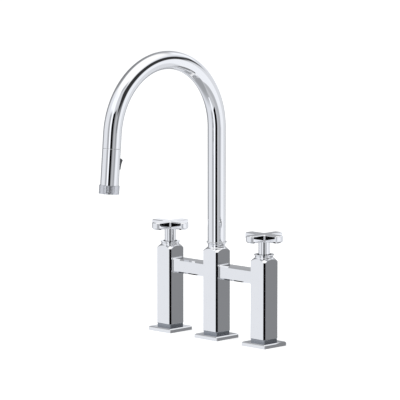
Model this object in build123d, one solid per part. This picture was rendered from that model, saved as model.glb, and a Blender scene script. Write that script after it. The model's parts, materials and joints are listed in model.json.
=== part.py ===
from build123d import *
import os
from math import cos, pi, radians, sin

# Bridge kitchen faucet with a pull-down spray wand, in millimetres.
# Z = 0 is the counter's surface and the middle post stands on the origin. X runs along the
# bridge, hot at -X and cold at +X, and -Y points at the user.

# ---------------------------------------------------------------- layout
handle_spacing = 203.2          # between the two handle axes
counter_thickness = 30.0        # the counter that the nuts are drawn up against

# base plates, each with a recessed square plinth under its post
plate_width = 49.0
plate_side = 4.8
plate_bevel = 1.7
plate_corner = 1.0
plinth_height = 4.7
plinth_inset = 1.4
seal_outer = 22.0
seal_inner = 18.0
seal_thickness = 1.4

# posts: chamfered square bars whose tops are turned round
post_width = 31.75
post_chamfer = 2.2
post_foot_bevel = 0.8
shoulder_inner = 14.7           # radius at which the turned shoulder meets the neck
shoulder_reach = 6.4            # how far the shoulder goes out from there
shoulder_fall = 5.8             # and how far down
shoulder_bulge = 0.4            # how much its middle stands out of a straight cone
rim_thickness = 1.0
outer_rim_rise = 36.3           # the outer posts' rims lie this far above the bars' axis
outer_neck_height = 5.55        # from the turned shoulder to the rim's top
outer_neck_radius = 14.0
outer_rim_radius = 15.5
middle_rim_rise = 45.3
middle_neck_height = 9.05
middle_neck_radius = 13.4
middle_rim_radius = 15.8

# bridge bars
bar_width = 22.0
bar_chamfer = 2.3
bar_axis_height = 106.0
bar_bore = 5.0
spigot_radius = 6.5
spigot_length = 2.2
bar_seal_outer = 9.5
bar_seal_inner = 7.7
bar_seal_thickness = 1.2

# shanks and what clamps them below the counter
side_shank_radius = 10.48
side_shank_bore = 7.5
middle_shank_radius = 13.2
middle_shank_bore = 11.8
shank_engagement = 16.0
shank_tail = 31.0               # length below the clamp washer
shank_end_bevel = 1.0
supply_thread_length = 16.5     # the side shanks' ends, which the supply connectors are screwed on
supply_relief_height = 1.4
supply_relief_depth = 0.9
clamp_gasket_thickness = 2.0
clamp_washer_thickness = 2.0
clamp_washer_radius = 23.0
nut_height = 12.0
side_nut_flats = 30.0
middle_nut_flats = 38.0

# valves
valve_bore = 11.0
valve_seat_drop = 9.0           # the valve seat lies this far below the bars' axis
water_passage = 6.5
inlet_seal_thickness = 1.8
inlet_seal_outer = 8.8
inlet_seal_inner = 5.2
barrel_radius = 9.0
barrel_bore = 7.6
barrel_lip = 1.1
barrel_length = 13.7
valve_thread_length = 11.5
valve_hexagon_height = 6.0
valve_hexagon_flats = 17.0
window_width = 8.0
window_height = 4.6
disc_thickness = 2.6
disc_port = 5.2
disc_port_wall = 0.4            # left between the two ports
spindle_radius = 4.0
spindle_flange = 4.2
spindle_key_half_width = 1.0
spindle_end_gap = 4.1           # between the spindle's end and the cross handle
clip_radius = 6.0
clip_thickness = 1.0
clip_groove_depth = 0.6
clip_mouth_half_width = 2.4

# handles
stem_radius = 8.8
stem_foot_drop = 1.4            # how far the stem reaches into the rim
stem_height = 21.4
stem_spigot_radius = 5.5
stem_spigot_length = 6.0
cross_height = 11.5
cross_arm_half_width = 8.2
cross_arm_length = 32.1
cross_tip_radius = 17.5
cross_valley_radius = 2.0
cross_top_bevel = 1.2
cross_foot_bevel = 2.6
handle_screw_radius = 2.0
handle_screw_height = 9.0       # above the stem's foot
handle_screw_recess = 0.4       # its head lies this deep in the stem

# water sleeve, in the middle post
sleeve_radius = 13.2
sleeve_bore = 5.8
sleeve_wall = 0.7
sleeve_flange = 7.9
sleeve_foot_drop = 23.0         # the sleeve starts this far below the bars' axis
sleeve_seal_section = 1.6
outlet_tube_radius = 2.5
outlet_tube_offset = 9.1
outlet_port_radius = 1.6
outlet_nipple_radius = 3.2
outlet_nipple_length = 18.0
outlet_nipple_gap = 1.0         # below the shank's end

# spout
tube_radius = 14.0
tube_wall = 1.1
arc_center_height = 329.5
arc_radius = 112.5
outlet_tilt = 4.83              # degrees that the wand leans away from the post
stub_length = 22.2
foot_spigot_radius = 10.55
foot_spigot_land = 3.2          # left below the retaining screw's groove
foot_spigot_floor_gap = 2.7     # between the spigot's foot and the step below it
foot_tube_length = 17.0
foot_bore = 6.4
thrust_washer_thickness = 0.4
thrust_washer_inset = 0.2       # inside the tube's wall
slip_ring_height = 3.0
slip_ring_depth = 1.0
slip_ring_land = 2.9            # between the screw's groove and the lower ring
slip_ring_drop = 3.0            # the upper ring lies this far below the post's rim
screw_groove_height = 3.2
screw_groove_depth = 1.2
screw_drop = 19.8               # the retaining screw lies this far below the post's rim
retaining_screw_radius = 2.0
retaining_screw_recess = 0.3    # its head lies this deep in the post
screw_tip_step = 0.5            # the tip is this much thinner, and starts this far off the spigot
screw_tip_gap = 0.3             # between the tip and the groove's floor

# hose
hose_radius = 5.5
hose_bore = 4.0
hose_foot_height = -88.0
hose_tail_length = 12.0
connector_radius = 7.5
connector_length = 24.0
connector_channel = 3.0

# dock, in the spout's mouth
dock_length = 21.5
dock_bore = 11.25
dock_step = 17.3
dock_hole = 8.0
magnet_radius = 12.0
magnet_bore = 8.6
magnet_thickness = 3.4

# wand, measured down from the seam where it meets the spout
wand_radius = 14.0
wand_wall = 1.6
wand_seam = 0.4
wand_roof = 2.4
wand_shell_end = 55.5
neck_radius = 10.9
neck_rise = 14.7
neck_bore = 8.5
neck_foot = 12.0
neck_floor = 3.5
neck_flange = 2.5
neck_channel = 5.0
keeper_thickness = 2.0
coupling_height = 12.0
coupling_floor_gap = 0.3
fitting_stub_radius = 4.5
fitting_collar_radius = 6.5
fitting_bore = 3.0
waterway_radius = 7.5
waterway_bore = 5.0
waterway_foot = 50.4
waterway_flange = 1.6
spool_top = 19.4
spool_foot = 35.4
spool_groove_radius = 2.5
spool_groove_height = 4.4
spool_bore = 1.2

# toggle lever on the back of the wand
toggle_top = 14.8
toggle_foot = 31.6
toggle_tip_depth = 17.6
toggle_tip_reach = 18.0
toggle_tip_step = 0.5           # width of the small facet on the tip
toggle_tip_rise = 0.8           # height of that facet
toggle_finger_hollow = 1.0      # how deep the finger's side is hollowed
toggle_foot_step = 0.3          # how proud of the wand the toggle's foot stands
toggle_half_width = 6.5
toggle_back = 11.4
toggle_body_half_width = 3.9
toggle_hub_radius = 2.2
toggle_opening_play = 0.3
toggle_opening_top_play = 0.8
toggle_pin_reach = 9.8
toggle_pin_depth = 29.4
toggle_pin_radius = 0.75
toggle_pin_length = 10.8
toggle_arm_half_width = 2.0
toggle_arm_height = 3.0
toggle_arm_tip = 2.8
toggle_arm_play = 0.9           # room above the arm for its swing
ear_gap = 0.3
ear_thickness = 1.2
ear_reach = 10.8
ear_height = 4.0

# knurled ring and spray face
ring_radius = 15.4
ring_length = 13.2
ring_lip = 1.6
ring_thread_length = 5.0
ring_bore = 11.6
ring_shadow_gap = 0.6           # plain step between the knurling and the wand's tube
knurl_columns = 40              # diamonds round the ring
knurl_rows = 4                  # diamonds up the ring
knurl_depth = 0.6
face_radius = 11.5
face_thickness = 3.0
face_recess = 0.8
nozzle_count = 16
nozzle_circle = 8.8
nozzle_radius = 0.9
nozzle_tip_radius = 0.63
nozzle_height = 1.0
aerator_radius = 5.4
aerator_length = 9.0
aerator_wall = 1.2
aerator_floor = 1.5

# clearances
thread_gap = 0.03               # between screwed or pressed pieces
seat_gap = 0.05                 # between a fitted piece and its seat
run_gap = 0.06                  # between turning pieces

# ---------------------------------------------------------------- places worked out
half_spacing = handle_spacing / 2
plate_top = plate_side + plate_bevel
post_foot = plate_top + plinth_height
bar_length = half_spacing - post_width
shank_top = post_foot + shank_engagement
clamp_top = -counter_thickness
nut_top = clamp_top - clamp_gasket_thickness - clamp_washer_thickness
shank_end = nut_top - shank_tail
outer_post_top = bar_axis_height + outer_rim_rise
outer_shoulder_top = outer_post_top - outer_neck_height
middle_post_top = bar_axis_height + middle_rim_rise
middle_shoulder_top = middle_post_top - middle_neck_height
valve_seat_height = bar_axis_height - valve_seat_drop
barrel_foot = valve_seat_height + inlet_seal_thickness
valve_thread_foot = barrel_foot + barrel_length
hexagon_foot = valve_thread_foot + valve_thread_length
hexagon_top = hexagon_foot + valve_hexagon_height
disc_foot = barrel_foot + barrel_lip
turning_disc_foot = disc_foot + disc_thickness + seat_gap
spindle_foot = turning_disc_foot + disc_thickness + seat_gap
stem_foot = outer_post_top - stem_foot_drop
cross_foot = stem_foot + stem_height
spindle_top = cross_foot - spindle_end_gap
screw_height = middle_post_top - screw_drop
screw_groove_foot = screw_height - screw_groove_height / 2
screw_groove_top = screw_height + screw_groove_height / 2
spigot_foot = screw_groove_foot - foot_spigot_land
neck_step = spigot_foot - foot_spigot_floor_gap
sleeve_wall_radius = sleeve_bore + sleeve_wall
sleeve_foot = bar_axis_height - sleeve_foot_drop
sleeve_top = neck_step - seat_gap
tube_foot = middle_post_top + thrust_washer_thickness
tube_bore = tube_radius - tube_wall
arc_angle = 180 - outlet_tilt
tail_angle = hose_tail_length / arc_radius * 180 / pi
shell_bore = wand_radius - wand_wall
end_y = -arc_radius * (1 + cos(radians(outlet_tilt)))
end_z = arc_center_height + arc_radius * sin(radians(outlet_tilt))
seam_y = end_y - stub_length * sin(radians(outlet_tilt))
seam_z = end_z - stub_length * cos(radians(outlet_tilt))
ring_foot = -wand_shell_end - ring_length
knurl_foot = ring_foot + ring_lip
knurl_top = -wand_shell_end - ring_shadow_gap
face_foot = ring_foot + face_recess

STAND = (Align.CENTER, Align.CENTER, Align.MIN)
# the wand's own frame: its origin is the seam, +Z runs back up into the spout and +Y to the toggle
WAND = Location((0, seam_y, seam_z), (-outlet_tilt, 0, 0))


# ---------------------------------------------------------------- shared shapes
def rod(radius, low, high):
    return Pos(0, 0, low) * Cylinder(radius, high - low, align=STAND)


def pipe(outer, inner, low, high):
    return rod(outer, low, high) - rod(inner, low, high)


def block(x_low, x_high, y_low, y_high, z_low, z_high):
    middle = ((x_low + x_high) / 2, (y_low + y_high) / 2, (z_low + z_high) / 2)
    return Pos(*middle) * Box(x_high - x_low, y_high - y_low, z_high - z_low)


def cross_bore(radius, x_low, x_high, height):
    return Pos(x_low, 0, height) * Rot(0, 90, 0) * Cylinder(radius, x_high - x_low, align=STAND)


def back_bore(radius, y_low, y_high, height):
    return Pos(0, y_low, height) * Rot(-90, 0, 0) * Cylinder(radius, y_high - y_low, align=STAND)


def hexagon_rod(flats, low, high):
    return Pos(0, 0, low) * extrude(RegularPolygon(flats / 2, 6, major_radius=False), high - low)


def at_three_posts(shape):
    return Compound([Pos(x, 0, 0) * shape for x in (-half_spacing, 0, half_spacing)])


def at_side_posts(shape):
    return Compound([Pos(x, 0, 0) * shape for x in (-half_spacing, half_spacing)])


def save(shape, node):
    shape.label = node
    export_step(shape, "parts/" + node + ".step")


# ---------------------------------------------------------------- base plates and posts
def base_plate(shank_radius):
    """Square escutcheon with bevelled top edges, a recessed plinth and a groove for its seal."""
    plate = Box(plate_width, plate_width, plate_top, align=STAND)
    plate = chamfer(plate.edges().filter_by(Axis.Z), plate_corner)
    plate = chamfer(plate.faces().sort_by(Axis.Z)[-1].edges(), plate_bevel)
    plinth_width = post_width - 2 * plinth_inset
    plinth = Pos(0, 0, plate_top) * Box(plinth_width, plinth_width, plinth_height, align=STAND)
    plinth = chamfer(plinth.edges().filter_by(Axis.Z), plate_corner)
    groove = pipe(seal_outer + seat_gap, seal_inner - seat_gap, 0, seal_thickness)
    return plate + plinth - groove - rod(shank_radius + seat_gap, 0, post_foot)


def square_post(neck_radius, rim_radius, shoulder_top, top):
    """Chamfered square bar, turned at its top to a round shoulder, a hollow neck and a thin rim."""
    bar = Pos(0, 0, post_foot) * Box(post_width, post_width, top - post_foot, align=STAND)
    bar = chamfer(bar.edges().filter_by(Axis.Z), post_chamfer)
    bar = chamfer(bar.faces().sort_by(Axis.Z)[0].edges(), post_foot_bevel)
    edge = shoulder_inner + shoulder_reach
    shoulder_low = shoulder_top - shoulder_fall
    rim_low = top - rim_thickness
    slant = shoulder_bulge * cos(radians(45))
    outline = [
        Polyline((0, top), (0, post_foot), (edge, post_foot), (edge, shoulder_low)),
        ThreePointArc((edge, shoulder_low),
                      ((edge + shoulder_inner) / 2 + slant, (shoulder_low + shoulder_top) / 2 + slant),
                      (shoulder_inner, shoulder_top)),
        ThreePointArc((shoulder_inner, shoulder_top),
                      (neck_radius, (shoulder_top + rim_low) / 2), (rim_radius, rim_low)),
        Polyline((rim_radius, rim_low), (rim_radius, top), (0, top)),
    ]
    return bar & revolve(Plane.XZ * make_face(outline), Axis.Z)


def valve_post():
    """Side post, its bridge port towards +X: inlet below, valve seat, valve chamber above."""
    post = square_post(outer_neck_radius, outer_rim_radius, outer_shoulder_top, outer_post_top)
    post -= rod(side_shank_radius + thread_gap, post_foot, shank_top)
    post -= rod(water_passage, shank_top, valve_seat_height)
    post -= rod(valve_bore, valve_seat_height, outer_post_top)
    return post - cross_bore(spigot_radius + seat_gap, 0, post_width / 2, bar_axis_height)


def middle_post():
    """Middle post: a chamber where both bars meet, and the bearing of the spout above it."""
    post = square_post(middle_neck_radius, middle_rim_radius, middle_shoulder_top, middle_post_top)
    post -= rod(sleeve_radius + seat_gap, post_foot, neck_step)
    post -= rod(foot_spigot_radius + run_gap, neck_step, middle_post_top)
    reach = post_width / 2
    post -= cross_bore(spigot_radius + seat_gap, -reach, reach, bar_axis_height)
    return post - back_bore(retaining_screw_radius + thread_gap, 0, reach, screw_height)


def bridge_bar():
    """Chamfered hollow bar on the X axis, with a spigot and a seal groove at each end."""
    bar = Box(bar_length, bar_width, bar_width)
    bar = chamfer(bar.edges().filter_by(Axis.X), bar_chamfer)
    half = bar_length / 2
    bar += cross_bore(spigot_radius, -half - spigot_length, half + spigot_length, 0)
    for end in (-1, 1):
        bar -= bar_seal(end)
    return bar - cross_bore(bar_bore, -half - spigot_length, half + spigot_length, 0)


def bar_seal(end):
    low = min(end * bar_length / 2, end * (bar_length / 2 - bar_seal_thickness))
    ring = pipe(bar_seal_outer, bar_seal_inner, 0, bar_seal_thickness)
    return Pos(low, 0, 0) * Rot(0, 90, 0) * ring


# ---------------------------------------------------------------- shanks and clamps
def shank(radius, bore):
    body = rod(radius, shank_end, shank_top - thread_gap)
    body = chamfer(body.faces().sort_by(Axis.Z)[0].edges(), shank_end_bevel)
    return body - rod(bore, shank_end, shank_top)


def side_shank():
    """Side shank, whose end below a relief groove takes the supply connector."""
    relief_foot = shank_end + shank_end_bevel + supply_thread_length
    groove = pipe(side_shank_radius, side_shank_radius - supply_relief_depth,
                  relief_foot, relief_foot + supply_relief_height)
    return shank(side_shank_radius, side_shank_bore) - groove


def clamp_gasket(radius):
    return pipe(clamp_washer_radius, radius + seat_gap, clamp_top - clamp_gasket_thickness, clamp_top)


def clamp_washer(radius):
    return pipe(clamp_washer_radius, radius + seat_gap, nut_top, nut_top + clamp_washer_thickness)


def mounting_nut(flats, radius):
    return hexagon_rod(flats, nut_top - nut_height, nut_top) - rod(
        radius + thread_gap, nut_top - nut_height, nut_top)


# ---------------------------------------------------------------- valves
def cartridge_body():
    """Brass headwork: a windowed barrel for the discs, a threaded length and a hexagon."""
    body = rod(barrel_radius, barrel_foot, valve_thread_foot)
    body += rod(valve_bore - thread_gap, valve_thread_foot, hexagon_foot)
    body += hexagon_rod(valve_hexagon_flats, hexagon_foot, hexagon_top)
    barrel_top = spindle_foot + spindle_flange + seat_gap
    body -= rod(barrel_bore, disc_foot, barrel_top)
    body -= rod(barrel_bore - barrel_lip, barrel_foot, disc_foot)
    body -= rod(spindle_radius + run_gap, barrel_top, hexagon_top)
    half = window_width / 2
    return body - block(-valve_bore, valve_bore, -half, half, spindle_foot, spindle_foot + window_height)


def ceramic_disc(radius, foot):
    """Ceramic disc with two sector ports on opposite sides."""
    top = foot + disc_thickness
    disc = rod(radius, foot, top)
    for side in (-1, 1):
        disc -= Pos(0, side * disc_port / 2, 0) * rod(disc_port / 2 - disc_port_wall, foot, top)
    return disc


def spindle():
    """Spindle with the flange that drives the turning disc, and a groove for its clip."""
    flange_radius = barrel_bore - run_gap
    clip_foot = hexagon_top + run_gap
    turned = rod(flange_radius, spindle_foot, spindle_foot + spindle_flange)
    turned += rod(spindle_radius, spindle_foot + spindle_flange, spindle_top)
    for side in (-1, 1):
        key = side * disc_port / 2
        turned -= block(-flange_radius, flange_radius, key - spindle_key_half_width,
                        key + spindle_key_half_width, spindle_foot, spindle_foot + window_height / 2)
    groove = spindle_radius - clip_groove_depth
    return turned - pipe(spindle_radius, groove, clip_foot, clip_foot + clip_thickness + seat_gap)


def spindle_clip():
    """Open spring clip in the spindle's groove, above the hexagon."""
    foot = hexagon_top + run_gap
    inner = spindle_radius - clip_groove_depth + thread_gap
    clip = pipe(clip_radius, inner, foot, foot + clip_thickness)
    mouth = clip_mouth_half_width
    return clip - block(0, clip_radius, -mouth, mouth, foot, foot + clip_thickness)


# ---------------------------------------------------------------- handles
def handle_stem():
    """Round stem over the spindle, with the spigot that the cross handle is screwed to."""
    stem = rod(stem_radius, stem_foot, cross_foot)
    stem += rod(stem_spigot_radius, cross_foot, cross_foot + stem_spigot_length)
    stem -= rod(spindle_radius + thread_gap, stem_foot, spindle_top + thread_gap)
    height = stem_foot + handle_screw_height
    return stem - back_bore(handle_screw_radius + thread_gap, 0, stem_radius, height)


def cross_outline():
    """Plus with straight arms, square corners and softly rounded tips."""
    crown = cross_tip_radius - (cross_tip_radius ** 2 - cross_arm_half_width ** 2) ** 0.5
    half = cross_arm_half_width
    length = cross_arm_length
    corners = []
    for turn in range(4):
        arm = [Vector(length, -half), Vector(length + crown, 0), Vector(length, half), Vector(half, half)]
        corners += [point.rotate(Axis.Z, 90 * turn) for point in arm]
    edges = []
    for turn in range(4):
        low, tip, high, valley = corners[4 * turn:4 * turn + 4]
        next_low = corners[4 * turn + 4 - len(corners)]
        edges += [ThreePointArc(low, tip, high), Line(high, valley), Line(valley, next_low)]
    outline = make_face(edges)
    valleys = [v for v in outline.vertices() if Vector(v.X, v.Y).length < cross_arm_length / 2]
    return fillet(valleys, cross_valley_radius)


def cross_handle():
    handle = extrude(cross_outline(), cross_height)
    handle = chamfer(handle.faces().sort_by(Axis.Z)[-1].edges(), cross_top_bevel)
    handle = chamfer(handle.faces().sort_by(Axis.Z)[0].edges(), cross_foot_bevel)
    socket = rod(stem_spigot_radius + thread_gap, 0, stem_spigot_length + thread_gap)
    return Pos(0, 0, cross_foot) * (handle - socket)


def handle_screw():
    """Grub screw at the back of the stem, its end on the spindle."""
    height = stem_foot + handle_screw_height
    end = stem_radius - handle_screw_recess
    return back_bore(handle_screw_radius, spindle_radius + seat_gap, end, height)


# ---------------------------------------------------------------- inside the middle post
def water_sleeve():
    """Brass sleeve: two sealed flanges shut off the chamber, and the hose passes through its middle."""
    low_flange = sleeve_foot + sleeve_flange
    top_flange = sleeve_top - sleeve_flange
    sleeve = rod(sleeve_radius, sleeve_foot, low_flange)
    sleeve += rod(sleeve_wall_radius, low_flange, top_flange)
    sleeve += rod(sleeve_radius, top_flange, sleeve_top)
    for seal in sleeve_seals():
        sleeve -= seal
    sleeve -= rod(sleeve_bore, sleeve_foot, sleeve_top)
    port = rod(outlet_port_radius, sleeve_foot, low_flange)
    socket = rod(outlet_tube_radius + thread_gap, sleeve_foot, sleeve_foot + sleeve_flange / 2)
    return sleeve - Pos(0, outlet_tube_offset, 0) * (port + socket)


def sleeve_seals():
    seals = []
    for flange_middle in (sleeve_foot + sleeve_flange / 2, sleeve_top - sleeve_flange / 2):
        low = flange_middle - sleeve_seal_section / 2
        inner = sleeve_radius - sleeve_seal_section
        seals.append(pipe(sleeve_radius, inner, low, low + sleeve_seal_section))
    return seals


def outlet_tube():
    """Mixed water tube from the sleeve down beside the hose, ending in a plug-in nipple."""
    nipple_top = shank_end - outlet_nipple_gap
    nipple_foot = nipple_top - outlet_nipple_length
    tube_top = sleeve_foot + sleeve_flange / 2 - thread_gap
    tube = rod(outlet_tube_radius, nipple_foot, tube_top)
    tube += rod(outlet_nipple_radius, nipple_foot, nipple_top)
    return Pos(0, outlet_tube_offset, 0) * (tube - rod(outlet_port_radius, nipple_foot, tube_top))


# ---------------------------------------------------------------- spout
def spout_path(low, last_angle, tail):
    """Centre line of the spout: up from low, round the arc to last_angle, then straight for tail."""
    rise = Line((0, 0, low), (0, 0, arc_center_height))
    bend = Plane.YZ * CenterArc((-arc_radius, arc_center_height), arc_radius, 0, last_angle)
    runs = [rise, bend]
    if tail > 0:
        start = bend @ 1
        runs.append(Line(start, start + (bend % 1) * tail))
    return Wire(runs)


def swept(radius, bore, path):
    section = Plane(origin=path @ 0, z_dir=path % 0)
    return sweep(section * Circle(radius), path=path) - sweep(section * Circle(bore), path=path)


def spout_tube():
    return swept(tube_radius, tube_bore, spout_path(tube_foot, arc_angle, stub_length))


def spout_foot():
    """Brass foot brazed into the tube, turned down below it to the spigot that swivels in the post."""
    foot = rod(tube_bore - thread_gap, tube_foot, tube_foot + foot_tube_length)
    foot += rod(foot_spigot_radius, spigot_foot, tube_foot)
    for ring in slip_rings():
        foot -= ring
    groove_floor = foot_spigot_radius - screw_groove_depth
    foot -= pipe(foot_spigot_radius, groove_floor, screw_groove_foot, screw_groove_top)
    return foot - rod(foot_bore, spigot_foot, tube_foot + foot_tube_length)


def slip_rings():
    rings = []
    for low in (screw_groove_top + slip_ring_land, middle_post_top - slip_ring_drop - slip_ring_height):
        inner = foot_spigot_radius - slip_ring_depth
        rings.append(pipe(foot_spigot_radius, inner, low, low + slip_ring_height))
    return rings


def thrust_washer():
    outer = tube_radius - thrust_washer_inset
    return pipe(outer, foot_spigot_radius + seat_gap, middle_post_top, tube_foot)


def spout_retaining_screw():
    """Grub screw through the back of the middle post into the spigot's groove."""
    tip = foot_spigot_radius - screw_groove_depth + screw_tip_gap
    shoulder = foot_spigot_radius + screw_tip_step
    end = post_width / 2 - retaining_screw_recess
    screw = back_bore(retaining_screw_radius - screw_tip_step, tip, shoulder, screw_height)
    return screw + back_bore(retaining_screw_radius, shoulder, end, screw_height)


def spray_hose():
    return swept(hose_radius, hose_bore, spout_path(hose_foot_height, arc_angle - tail_angle, 0))


def hose_tail():
    """The hose's last stretch, which runs out of the spout when the wand is pulled."""
    middle = (-arc_radius, arc_center_height)
    last = Plane.YZ * CenterArc(middle, arc_radius, arc_angle - tail_angle, tail_angle)
    return swept(hose_radius, hose_bore, Wire([last]))


def hose_connector():
    """Plug-in coupling on the hose's lower end."""
    low = hose_foot_height - connector_length
    socket_end = low + outlet_nipple_length
    body = rod(connector_radius, low, hose_foot_height)
    body -= rod(outlet_nipple_radius + run_gap, low, socket_end)
    return body - rod(connector_channel, socket_end, hose_foot_height)


def dock_insert():
    """Plastic guide in the spout's mouth, with the pocket that holds the magnet."""
    outer = tube_bore - seat_gap
    insert = rod(outer, thread_gap, dock_length)
    insert -= rod(dock_bore, 0, dock_step)
    insert -= rod(dock_hole, dock_step, dock_length)
    pocket_foot = dock_length - magnet_thickness
    return insert - pipe(magnet_radius + seat_gap, magnet_bore - seat_gap, pocket_foot, dock_length)


def dock_magnet():
    return pipe(magnet_radius, magnet_bore, dock_length - magnet_thickness, dock_length)


# ---------------------------------------------------------------- wand (in the WAND frame)
def hose_end_fitting():
    """Crimped ferrule on the hose, with the stub that turns in the wand's coupling."""
    stub_foot = coupling_floor() + seat_gap
    collar_foot = coupling_floor() + coupling_height + run_gap
    fitting = rod(fitting_stub_radius, stub_foot, collar_foot)
    fitting += rod(fitting_collar_radius, collar_foot, stub_length)
    return fitting - rod(fitting_bore, stub_foot, stub_length)


def coupling_floor():
    return -neck_foot + neck_floor + coupling_floor_gap


def hose_coupling():
    """Brass coupling screwed into the wand's neck, in which the hose's stub turns."""
    low = coupling_floor()
    return pipe(neck_bore - thread_gap, fitting_stub_radius + run_gap, low, low + coupling_height)


def wand_neck():
    """Plastic neck that carries the wand in the dock."""
    neck = rod(neck_radius, -neck_foot, neck_rise)
    flange_top = -wand_roof - seat_gap
    neck += rod(shell_bore - seat_gap, flange_top - neck_flange, flange_top)
    neck -= rod(neck_bore, -neck_foot + neck_floor, neck_rise)
    return neck - rod(neck_channel, -neck_foot, -neck_foot + neck_floor)


def magnet_keeper():
    return pipe(neck_radius, neck_bore, neck_rise, neck_rise + keeper_thickness)


def wand_shell():
    """Chromed tube with a closed roof and the opening for the toggle."""
    shell = rod(wand_radius, -wand_shell_end, -wand_seam)
    shell -= rod(shell_bore, -wand_shell_end, -wand_roof)
    shell -= rod(neck_radius + seat_gap, -wand_roof, -wand_seam)
    half = toggle_half_width + toggle_opening_play
    return shell - block(-half, half, 0, wand_radius, -toggle_foot - toggle_opening_play,
                         -toggle_top + toggle_opening_top_play)


def waterway():
    """Inner body: the diverter's bore, the slot for the toggle's arm and the ears for its pin."""
    top = -neck_foot - seat_gap
    body = rod(waterway_radius, -waterway_foot, top)
    body += rod(neck_radius, top - waterway_flange, top)
    body += rod(shell_bore - seat_gap, -waterway_foot, -waterway_foot + waterway_flange)
    ear_inner = toggle_body_half_width + ear_gap
    for side in (-1, 1):
        x_low = min(side * ear_inner, side * (ear_inner + ear_thickness))
        body += block(x_low, x_low + ear_thickness, waterway_radius / 2, ear_reach,
                      -toggle_pin_depth - ear_height / 2, -toggle_pin_depth + ear_height / 2)
    body -= rod(waterway_bore, -waterway_foot, top)
    body -= toggle_cross_rod(toggle_pin_radius + thread_gap, toggle_pin_length)
    slot = toggle_arm_half_width + ear_gap
    slot_half = toggle_arm_height / 2 + toggle_arm_play
    return body - block(-slot, slot, 0, ear_reach, -toggle_pin_depth - slot_half - ear_gap,
                        -toggle_pin_depth + slot_half)


def toggle_cross_rod(radius, length):
    place = Pos(-length / 2, toggle_pin_reach, -toggle_pin_depth)
    return place * Rot(0, 90, 0) * Cylinder(radius, length, align=STAND)


def diverter_spool():
    """Spool that the toggle's arm slides to change between the jet and the spray."""
    spool = rod(waterway_bore - run_gap, -spool_foot, -spool_top)
    half = spool_groove_height / 2
    spool -= pipe(waterway_bore, spool_groove_radius, -toggle_pin_depth - half, -toggle_pin_depth + half)
    return spool - rod(spool_bore, -spool_foot, -spool_top)


def toggle():
    """Lever with a finger ridge, a hub on the pin and the arm that moves the spool."""
    wall = wand_radius
    side = [
        Polyline((toggle_back, -toggle_foot), (toggle_back, -toggle_top), (wall, -toggle_top),
                 (toggle_tip_reach - toggle_tip_step, -toggle_tip_depth + toggle_tip_rise),
                 (toggle_tip_reach, -toggle_tip_depth)),
        ThreePointArc((toggle_tip_reach, -toggle_tip_depth),
                      ((toggle_tip_reach + wall) / 2 - toggle_finger_hollow,
                       -(toggle_tip_depth + toggle_foot) / 2),
                      (wall + toggle_foot_step, -toggle_foot)),
        Line((wall + toggle_foot_step, -toggle_foot), (toggle_back, -toggle_foot)),
    ]
    lever = extrude(Plane.YZ * make_face(side), toggle_half_width, both=True)
    hub_half = toggle_body_half_width
    hub = Pos(-hub_half, toggle_pin_reach, -toggle_pin_depth) * Rot(0, 90, 0) * Cylinder(
        toggle_hub_radius, 2 * hub_half, align=STAND)
    arm_half = toggle_arm_height / 2
    arm = block(-toggle_arm_half_width, toggle_arm_half_width, toggle_arm_tip, toggle_back,
                -toggle_pin_depth - arm_half, -toggle_pin_depth + arm_half)
    return lever + hub + arm - toggle_cross_rod(toggle_pin_radius + run_gap, 2 * hub_half)


def toggle_pin():
    return toggle_cross_rod(toggle_pin_radius, toggle_pin_length)


def knurled_band(radius, bore, foot, top):
    """Ring whose outside is cut to diamonds: crests and valleys alternate along rows and columns."""
    steps = 2 * knurl_columns
    levels = 2 * knurl_rows
    grid = []
    for level in range(levels + 1):
        height = foot + (top - foot) * level / levels
        row = []
        for step in range(steps):
            reach = radius - knurl_depth * ((level + step) % 2)
            angle = 2 * pi * step / steps
            row.append(Vector(reach * cos(angle), reach * sin(angle), height))
        grid.append(row)
    faces = []
    for level in range(levels):
        for step in range(steps):
            corners = [grid[level][step], grid[level][(step + 1) % steps],
                       grid[level + 1][(step + 1) % steps], grid[level + 1][step]]
            first = 1 - (level + step) % 2      # a valley, where the crease between two crests starts
            for half in ((first, first + 1, first + 2), (first + 2, first + 3, first)):
                faces.append(make_face(Polyline(*[corners[k % 4] for k in half], close=True)))
    for row in (grid[0], grid[levels]):
        faces.append(make_face(Polyline(*row, close=True)))
    return Solid(Shell(faces)) - rod(bore, foot, top)


def knurled_ring():
    """Aerator ring: a knurled band between plain lips, with a threaded collar inside the shell."""
    core = ring_radius - knurl_depth
    thread_top = -wand_shell_end + ring_thread_length
    ring = pipe(core, ring_bore, ring_foot, knurl_foot)
    ring += knurled_band(ring_radius, ring_bore, knurl_foot, knurl_top)
    ring += pipe(core, ring_bore, knurl_top, -wand_shell_end)
    return ring + pipe(shell_bore - thread_gap, ring_bore, -wand_shell_end, thread_top)


def nozzle_plate():
    """Rubber spray face with a ring of raised nozzles round the aerator."""
    plate = rod(face_radius, face_foot, face_foot + face_thickness)
    nozzle = Cone(nozzle_tip_radius, nozzle_radius, nozzle_height, align=STAND)
    for turn in range(nozzle_count):
        angle = 360 * turn / nozzle_count
        plate += Rot(0, 0, angle) * Pos(nozzle_circle, 0, face_foot - nozzle_height) * nozzle
    return plate - rod(aerator_radius + seat_gap, face_foot, face_foot + face_thickness)


def aerator():
    """Round aerator core in the middle of the spray face."""
    top = face_foot + aerator_length
    core = rod(aerator_radius, face_foot, top)
    core += rod(ring_bore - seat_gap, face_foot + face_thickness + seat_gap, top)
    return core - rod(aerator_radius - aerator_wall, face_foot, top - aerator_floor)


# ---------------------------------------------------------------- build every node
os.makedirs("parts", exist_ok=True)

SIDES = {"hot": Pos(-half_spacing, 0, 0), "cold": Pos(half_spacing, 0, 0) * Rot(0, 0, 180)}
bar_middle = half_spacing / 2

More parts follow.
